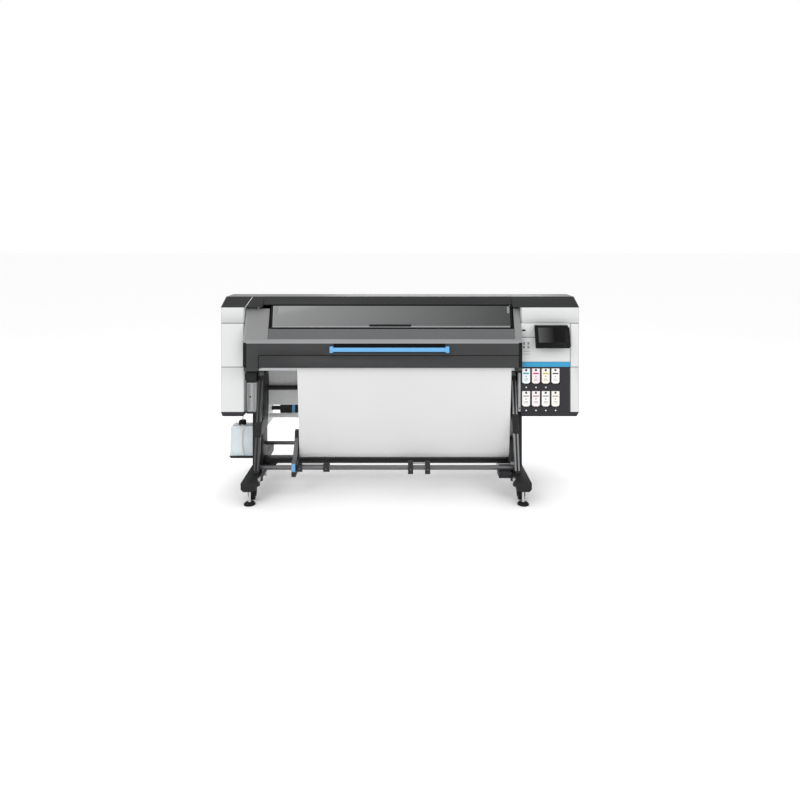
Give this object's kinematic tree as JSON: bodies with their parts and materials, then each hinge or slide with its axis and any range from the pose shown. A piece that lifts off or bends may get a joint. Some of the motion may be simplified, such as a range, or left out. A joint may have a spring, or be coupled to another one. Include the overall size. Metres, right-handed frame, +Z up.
{
  "type": "roll-fed printer cutter",
  "caption": "Wide roll-to-roll inkjet printer with a built-in cross cutter, on an open stand with a take-up reel, touch screen and side-loaded ink.",
  "frame": {"origin": "middle of the footprint, on the floor under the levelling pads", "axes": "+X to the operator's right along the print width, +Y to the rear, +Z up; the front faces -Y"},
  "size_m": [2.583, 0.852, 1.402],
  "materials": {
    "white_moulding": "fine-textured white moulding",
    "dark_moulding": "dark grey textured moulding",
    "grey_sheet": "light grey powder coat",
    "ink_moulding": "charcoal moulding",
    "blue_moulding": "blue satin moulding",
    "black_coat": "black textured powder coat",
    "bare_aluminium": "anodised, satin",
    "tinted_pane": "glossy dark tint",
    "black_rubber": "matt rubber",
    "print_media": "matt white media",
    "cloudy_plastic": "translucent natural plastic",
    "cartridge_shell": "white label over charcoal shell"
  },
  "bodies": {
    "frame": {"bottle_shelf": "black_coat", "carriage_rail": "bare_aluminium", "chassis_beam": "bare_aluminium", "column_left": "black_coat", "column_right": "black_coat", "cross_beam": "black_coat", "deflector_bar": "bare_aluminium", "drain_hose": "cloudy_plastic", "foot_beam_left": "black_coat", "foot_beam_right": "black_coat", "ink_bay": "ink_moulding", "left_cap": "dark_moulding", "left_cover": "white_moulding", "left_skirt": "ink_moulding", "media_web": "print_media", "platen": "bare_aluminium", "right_cap": "dark_moulding", "right_cover": "white_moulding", "right_panel": "white_moulding", "right_skirt": "ink_moulding", "roll_cradle": "grey_sheet", "strut_left": "bare_aluminium", "strut_right": "bare_aluminium", "takeup_motor": "ink_moulding", "takeup_rail": "bare_aluminium", "top_cover": "dark_moulding", "waste_bottle": "cloudy_plastic"},
    "hood": {"front_hood": "dark_moulding", "door_handle": "blue_moulding"},
    "window": {"window": "tinted_pane"},
    "display": {"display": "tinted_pane"},
    "carriage": {"print_carriage": "ink_moulding"},
    "cutter": {"cross_cutter": "dark_moulding"},
    "drive_roller": {"drive_roller": "black_rubber"},
    "supply_reel": {"supply_spindle": "bare_aluminium", "supply_roll": "print_media"},
    "takeup_reel": {"takeup_roll": "print_media"},
    "reel_arm": {"takeup_arm": "grey_sheet"},
    "arm_lever": {"arm_lever": "blue_moulding"},
    "ink_1_1": {"ink_cartridge_1_1": "cartridge_shell"},
    "ink_1_2": {"ink_cartridge_1_2": "cartridge_shell"},
    "ink_1_3": {"ink_cartridge_1_3": "cartridge_shell"},
    "ink_1_4": {"ink_cartridge_1_4": "cartridge_shell"},
    "ink_2_1": {"ink_cartridge_2_1": "cartridge_shell"},
    "ink_2_2": {"ink_cartridge_2_2": "cartridge_shell"},
    "ink_2_3": {"ink_cartridge_2_3": "cartridge_shell"},
    "ink_2_4": {"ink_cartridge_2_4": "cartridge_shell"},
    "castor_front_left": {"castor_fork_front_left": "black_coat"},
    "wheel_front_left": {"castor_wheel_front_left": "black_rubber"},
    "leveller_front_left": {"levelling_foot_front_left": "black_coat"},
    "castor_front_right": {"castor_fork_front_right": "black_coat"},
    "wheel_front_right": {"castor_wheel_front_right": "black_rubber"},
    "leveller_front_right": {"levelling_foot_front_right": "black_coat"},
    "castor_rear_left": {"castor_fork_rear_left": "black_coat"},
    "wheel_rear_left": {"castor_wheel_rear_left": "black_rubber"},
    "leveller_rear_left": {"levelling_foot_rear_left": "black_coat"},
    "castor_rear_right": {"castor_fork_rear_right": "black_coat"},
    "wheel_rear_right": {"castor_wheel_rear_right": "black_rubber"},
    "leveller_rear_right": {"levelling_foot_rear_right": "black_coat"}
  },
  "joints": [
    {"name": "hood_lift", "type": "hinge", "parent": "frame", "child": "hood", "pos_m": [0, -0.118, 1.296], "axis": [-1, 0, 0], "range_deg": [0, 50]},
    {"name": "window_lift", "type": "hinge", "parent": "frame", "child": "window", "pos_m": [0, -0.143, 1.332], "axis": [-1, 0, 0], "range_deg": [0, 60]},
    {"name": "display_tilt", "type": "hinge", "parent": "frame", "child": "display", "pos_m": [1.083, -0.1826, 1.196], "axis": [-1, 0, 0], "range_deg": [0, 35]},
    {"name": "carriage_travel", "type": "slide", "parent": "frame", "child": "carriage", "axis": [1, 0, 0], "range_m": [-1.6, 0]},
    {"name": "cutter_travel", "type": "slide", "parent": "frame", "child": "cutter", "axis": [1, 0, 0], "range_m": [0, 1.85]},
    {"name": "reel_arm_slide", "type": "slide", "parent": "frame", "child": "reel_arm", "axis": [1, 0, 0], "range_m": [-0.2, 0]},
    {"name": "arm_lever_turn", "type": "hinge", "parent": "reel_arm", "child": "arm_lever", "pos_m": [-0.754, -0.2575, 0.226], "axis": [-1, 0, 0], "range_deg": [0, 70]},
    {"name": "ink_slide_1_1", "type": "slide", "parent": "frame", "child": "ink_1_1", "axis": [0, -1, 0], "range_m": [0, 0.22]},
    {"name": "ink_slide_1_2", "type": "slide", "parent": "frame", "child": "ink_1_2", "axis": [0, -1, 0], "range_m": [0, 0.22]},
    {"name": "ink_slide_1_3", "type": "slide", "parent": "frame", "child": "ink_1_3", "axis": [0, -1, 0], "range_m": [0, 0.22]},
    {"name": "ink_slide_1_4", "type": "slide", "parent": "frame", "child": "ink_1_4", "axis": [0, -1, 0], "range_m": [0, 0.22]},
    {"name": "ink_slide_2_1", "type": "slide", "parent": "frame", "child": "ink_2_1", "axis": [0, -1, 0], "range_m": [0, 0.22]},
    {"name": "ink_slide_2_2", "type": "slide", "parent": "frame", "child": "ink_2_2", "axis": [0, -1, 0], "range_m": [0, 0.22]},
    {"name": "ink_slide_2_3", "type": "slide", "parent": "frame", "child": "ink_2_3", "axis": [0, -1, 0], "range_m": [0, 0.22]},
    {"name": "ink_slide_2_4", "type": "slide", "parent": "frame", "child": "ink_2_4", "axis": [0, -1, 0], "range_m": [0, 0.22]},
    {"name": "supply_reel_spin", "type": "hinge", "parent": "frame", "child": "supply_reel", "pos_m": [0, 0.28, 0.485], "axis": [1, 0, 0], "continuous": true},
    {"name": "drive_roller_spin", "type": "hinge", "parent": "frame", "child": "drive_roller", "pos_m": [0, 0.091, 0.958], "axis": [1, 0, 0], "continuous": true},
    {"name": "takeup_reel_spin", "type": "hinge", "parent": "frame", "child": "takeup_reel", "pos_m": [0, -0.06, 0.29], "axis": [1, 0, 0], "continuous": true},
    {"name": "castor_swivel_front_left", "type": "hinge", "parent": "frame", "child": "castor_front_left", "pos_m": [-1.0325, -0.285, 0.09], "axis": [0, 0, 1], "continuous": true},
    {"name": "castor_swivel_front_right", "type": "hinge", "parent": "frame", "child": "castor_front_right", "pos_m": [0.8455, -0.285, 0.09], "axis": [0, 0, 1], "continuous": true},
    {"name": "castor_swivel_rear_left", "type": "hinge", "parent": "frame", "child": "castor_rear_left", "pos_m": [-1.055, 0.285, 0.09], "axis": [0, 0, 1], "continuous": true},
    {"name": "castor_swivel_rear_right", "type": "hinge", "parent": "frame", "child": "castor_rear_right", "pos_m": [0.868, 0.285, 0.09], "axis": [0, 0, 1], "continuous": true},
    {"name": "castor_roll_front_left", "type": "hinge", "parent": "castor_front_left", "child": "wheel_front_left", "pos_m": [-1.0325, -0.307, 0.033], "axis": [1, 0, 0], "continuous": true},
    {"name": "castor_roll_front_right", "type": "hinge", "parent": "castor_front_right", "child": "wheel_front_right", "pos_m": [0.8455, -0.307, 0.033], "axis": [1, 0, 0], "continuous": true},
    {"name": "castor_roll_rear_left", "type": "hinge", "parent": "castor_rear_left", "child": "wheel_rear_left", "pos_m": [-1.055, 0.307, 0.033], "axis": [1, 0, 0], "continuous": true},
    {"name": "castor_roll_rear_right", "type": "hinge", "parent": "castor_rear_right", "child": "wheel_rear_right", "pos_m": [0.868, 0.307, 0.033], "axis": [1, 0, 0], "continuous": true},
    {"name": "leveller_screw_front_left", "type": "slide", "parent": "frame", "child": "leveller_front_left", "axis": [0, 0, -1], "range_m": [0, 0.025]},
    {"name": "leveller_screw_front_right", "type": "slide", "parent": "frame", "child": "leveller_front_right", "axis": [0, 0, -1], "range_m": [0, 0.025]},
    {"name": "leveller_screw_rear_left", "type": "slide", "parent": "frame", "child": "leveller_rear_left", "axis": [0, 0, -1], "range_m": [0, 0.025]},
    {"name": "leveller_screw_rear_right", "type": "slide", "parent": "frame", "child": "leveller_rear_right", "axis": [0, 0, -1], "range_m": [0, 0.025]}
  ],
  "couplings": [
    {"joint": "drive_roller_spin", "follows": "supply_reel_spin", "ratio": 2.7778},
    {"joint": "takeup_reel_spin", "follows": "supply_reel_spin", "ratio": 1.0714}
  ]
}
